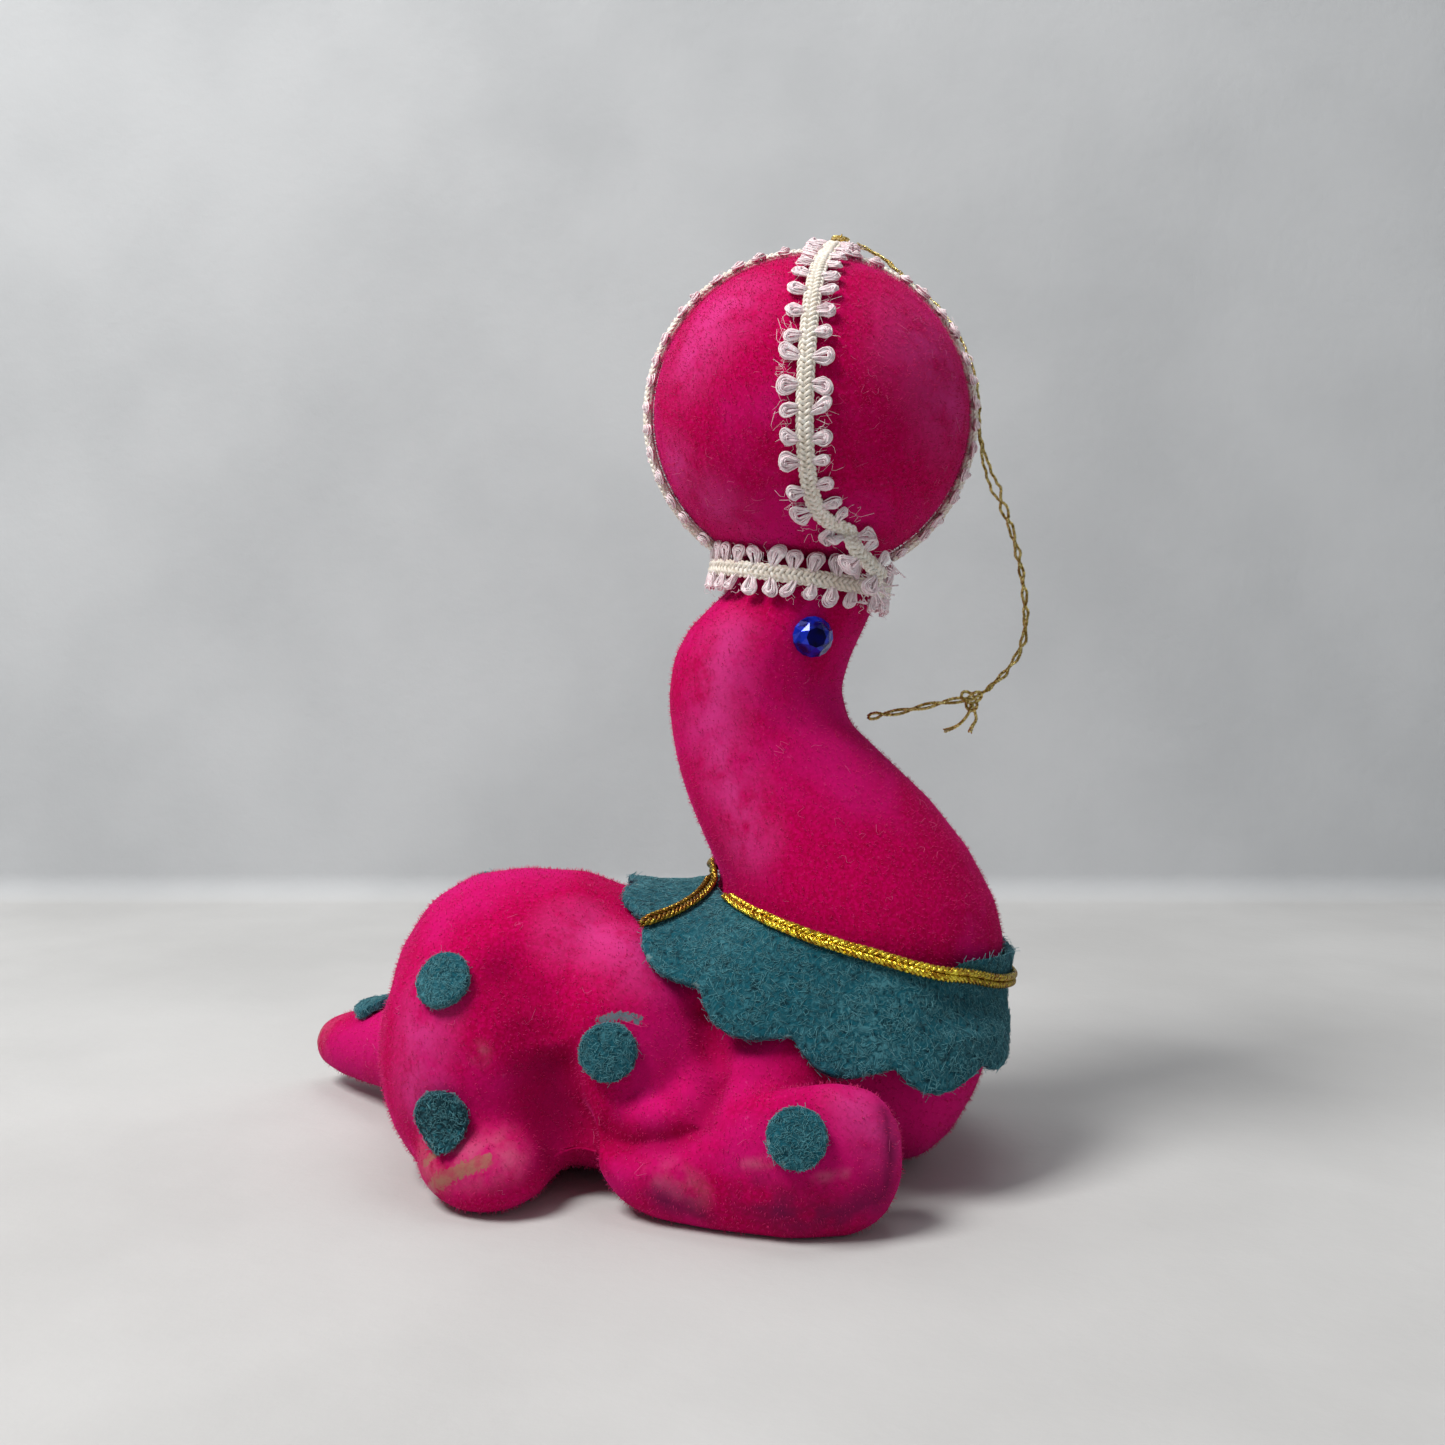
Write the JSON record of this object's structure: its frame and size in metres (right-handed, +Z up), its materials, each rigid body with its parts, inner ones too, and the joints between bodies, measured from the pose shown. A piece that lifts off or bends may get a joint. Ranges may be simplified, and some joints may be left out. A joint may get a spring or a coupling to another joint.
{
  "type": "christmas ornament",
  "caption": "Flocked circus seal ornament, with braid, felt and cord trims, balancing a ball on its nose and hanging from a loop of thread.",
  "frame": {"origin": "middle of the footprint at the level of the flat underside, in the plane where the two moulded halves meet", "axes": "+Z up, +X the way the seal faces, +Y the seal's left"},
  "size_m": [0.091, 0.0633, 0.1075],
  "materials": {
    "body_right_half": "flocked",
    "body_left_half": "flocked",
    "ball_right_half": "flocked",
    "ball_left_half": "flocked",
    "ball_braid_long": "woven braid",
    "ball_braid_cross": "woven braid",
    "neck_braid": "woven braid",
    "eye_right": "faceted",
    "eye_left": "faceted",
    "felt_collar": "felt",
    "collar_cord": "metallic braided cord",
    "dot_rump_right": "felt",
    "dot_rump_left": "felt",
    "dot_haunch_right": "felt",
    "dot_haunch_left": "felt",
    "dot_belly_right": "felt",
    "dot_belly_left": "felt",
    "dot_flipper_right": "felt",
    "dot_flipper_left": "felt",
    "thread_eye": "metallic thread",
    "thread_right_strand": "metallic thread",
    "thread_left_strand": "metallic thread",
    "thread_far_bend": "metallic thread",
    "thread_knot": "metallic thread"
  },
  "bodies": {
    "ornament": {"body_right_half": "body_right_half", "body_left_half": "body_left_half", "ball_right_half": "ball_right_half", "ball_left_half": "ball_left_half", "ball_braid_long": "ball_braid_long", "ball_braid_cross": "ball_braid_cross", "neck_braid": "neck_braid", "eye_right": "eye_right", "eye_left": "eye_left", "felt_collar": "felt_collar", "collar_cord": "collar_cord", "dot_rump_right": "dot_rump_right", "dot_rump_left": "dot_rump_left", "dot_haunch_right": "dot_haunch_right", "dot_haunch_left": "dot_haunch_left", "dot_belly_right": "dot_belly_right", "dot_belly_left": "dot_belly_left", "dot_flipper_right": "dot_flipper_right", "dot_flipper_left": "dot_flipper_left", "thread_eye": "thread_eye"},
    "thread_loop": {"thread_right_strand": "thread_right_strand", "thread_left_strand": "thread_left_strand", "thread_far_bend": "thread_far_bend", "thread_knot": "thread_knot"}
  },
  "joints": [
    {"name": "thread_swing", "type": "hinge", "parent": "ornament", "child": "thread_loop", "pos_m": [0.02356, 0, 0.10712], "axis": [0, 0, 1], "range_deg": [-45, 35]}
  ]
}
